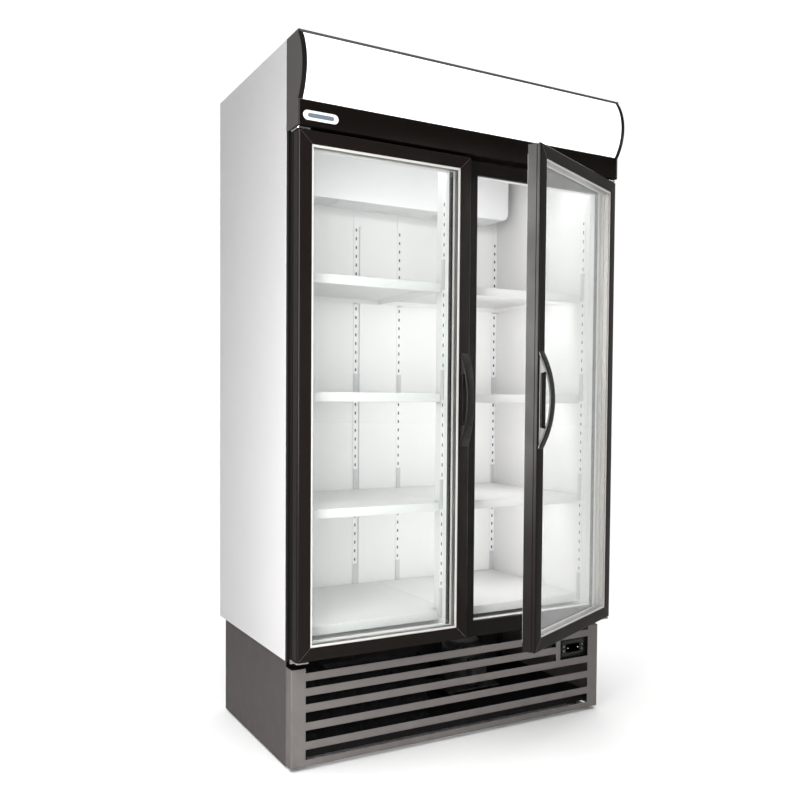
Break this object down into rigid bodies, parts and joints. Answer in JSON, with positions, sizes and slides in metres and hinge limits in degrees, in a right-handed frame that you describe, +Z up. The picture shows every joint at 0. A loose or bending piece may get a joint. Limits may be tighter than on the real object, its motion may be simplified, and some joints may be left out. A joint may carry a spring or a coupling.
{
  "type": "glass door merchandiser",
  "caption": "Upright refrigerated merchandiser with hinged glass doors, bow handles, adjustable shelves, a lit curved header sign and a louvred base that holds the cooling unit.",
  "frame": {"origin": "on the floor, at the middle of the footprint with the right-hand door standing ajar", "axes": "+Z up, +Y from the doors to the back, +X to the right of someone facing the doors"},
  "size_m": [1.1729, 0.9692, 2.1],
  "materials": {
    "cabinet_white": "satin white powder coat",
    "liner_white": "satin white enamel",
    "galvanised": "galvanised sheet",
    "foam": "rigid foam",
    "frame_black": "satin black extrusion",
    "post_white": "satin white",
    "upright_white": "satin white",
    "clip_grey": "ribbed grey plastic",
    "shelf_white": "gloss white powder coat",
    "evaporator_white": "satin white",
    "coil_fins": "aluminium fins",
    "coil_black": "black coated fins",
    "fan_black": "moulded black",
    "header_black": "satin black",
    "cap_black": "moulded black",
    "lens_white": "opal white",
    "tube_white": "frosted tube",
    "badge_white": "gloss badge",
    "base_grey": "textured dark grey",
    "grille_grey": "satin dark grey",
    "foot_black": "moulded black",
    "shroud_black": "moulded black",
    "compressor_black": "gloss black",
    "rubber_black": "rubber",
    "pan_plastic": "moulded grey",
    "controller_black": "gloss black",
    "button_grey": "moulded grey",
    "zinc": "zinc plated",
    "door_black": "black coated extrusion",
    "door_glass": "clear",
    "spacer_grey": "anodised grey",
    "trim_white": "satin white",
    "gasket_white": "soft white vinyl",
    "handle_black": "moulded black"
  },
  "bodies": {
    "cabinet": {"badge": "badge_white", "base_panels": "base_grey", "base_tray": "base_grey", "bottom_panel": "galvanised", "casing_screws": "zinc", "compressor": "compressor_black", "compressor_mounts": "rubber_black", "condenser_coil": "coil_black", "condenser_fan_housing": "shroud_black", "control_panel": "controller_black", "drain_pan": "pan_plastic", "evaporator_coil": "coil_fins", "evaporator_cover": "evaporator_white", "evaporator_fan_motors": "fan_black", "front_frame": "frame_black", "front_grille": "grille_grey", "header_end_caps": "cap_black", "header_fascia": "header_black", "header_housing": "header_black", "header_lens": "lens_white", "hinge_brackets": "zinc", "inner_liner": "liner_white", "levelling_feet": "foot_black", "light_tubes": "tube_white", "mullion_post": "post_white", "power_inlet": "controller_black", "rear_panel": "galvanised", "shelf_clips": "clip_grey", "shelf_left_1": "shelf_white", "shelf_left_2": "shelf_white", "shelf_left_3": "shelf_white", "shelf_left_4": "shelf_white", "shelf_right_1": "shelf_white", "shelf_right_2": "shelf_white", "shelf_right_3": "shelf_white", "shelf_right_4": "shelf_white", "shelf_uprights": "upright_white", "side_panel_left": "cabinet_white", "side_panel_right": "cabinet_white", "top_panel": "cabinet_white", "wall_insulation": "foam"},
    "door_left": {"door_left_frame": "door_black", "door_left_gasket": "gasket_white", "door_left_glass": "door_glass", "door_left_glazing_trim": "trim_white", "door_left_handle": "handle_black", "door_left_spacer": "spacer_grey"},
    "door_right": {"door_right_frame": "door_black", "door_right_gasket": "gasket_white", "door_right_glass": "door_glass", "door_right_glazing_trim": "trim_white", "door_right_handle": "handle_black", "door_right_spacer": "spacer_grey"},
    "condenser_fan": {"condenser_fan": "fan_black"},
    "evaporator_fan_left": {"evaporator_fan_left": "fan_black"},
    "evaporator_fan_right": {"evaporator_fan_right": "fan_black"},
    "control_button_1": {"control_button_1": "button_grey"},
    "control_button_2": {"control_button_2": "button_grey"},
    "control_button_3": {"control_button_3": "button_grey"},
    "control_button_4": {"control_button_4": "button_grey"}
  },
  "joints": [
    {"name": "door_left_hinge", "type": "hinge", "parent": "cabinet", "child": "door_left", "pos_m": [-0.563, -0.20099, 1.083], "axis": [0, 0, -1], "range_deg": [0, 105]},
    {"name": "door_right_hinge", "type": "hinge", "parent": "cabinet", "child": "door_right", "pos_m": [0.563, -0.20099, 1.083], "axis": [0, 0, 1], "range_deg": [-25.5, 79.5]},
    {"name": "condenser_fan_spin", "type": "hinge", "parent": "cabinet", "child": "condenser_fan", "pos_m": [-0.3, -0.03299, 0.142], "axis": [0, 1, 0], "continuous": true},
    {"name": "evaporator_fan_left_spin", "type": "hinge", "parent": "cabinet", "child": "evaporator_fan_left", "pos_m": [-0.25, 0.35676, 1.7955], "axis": [0, 0, 1], "continuous": true},
    {"name": "evaporator_fan_right_spin", "type": "hinge", "parent": "cabinet", "child": "evaporator_fan_right", "pos_m": [0.25, 0.35676, 1.7955], "axis": [0, 0, 1], "continuous": true},
    {"name": "control_button_1_press", "type": "slide", "parent": "cabinet", "child": "control_button_1", "axis": [0, 1, 0], "range_m": [0, 0.0012], "stiffness_N_per_m": 400, "springref_m": -0.0005},
    {"name": "control_button_2_press", "type": "slide", "parent": "cabinet", "child": "control_button_2", "axis": [0, 1, 0], "range_m": [0, 0.0012], "stiffness_N_per_m": 400, "springref_m": -0.0005},
    {"name": "control_button_3_press", "type": "slide", "parent": "cabinet", "child": "control_button_3", "axis": [0, 1, 0], "range_m": [0, 0.0012], "stiffness_N_per_m": 400, "springref_m": -0.0005},
    {"name": "control_button_4_press", "type": "slide", "parent": "cabinet", "child": "control_button_4", "axis": [0, 1, 0], "range_m": [0, 0.0012], "stiffness_N_per_m": 400, "springref_m": -0.0005}
  ]
}
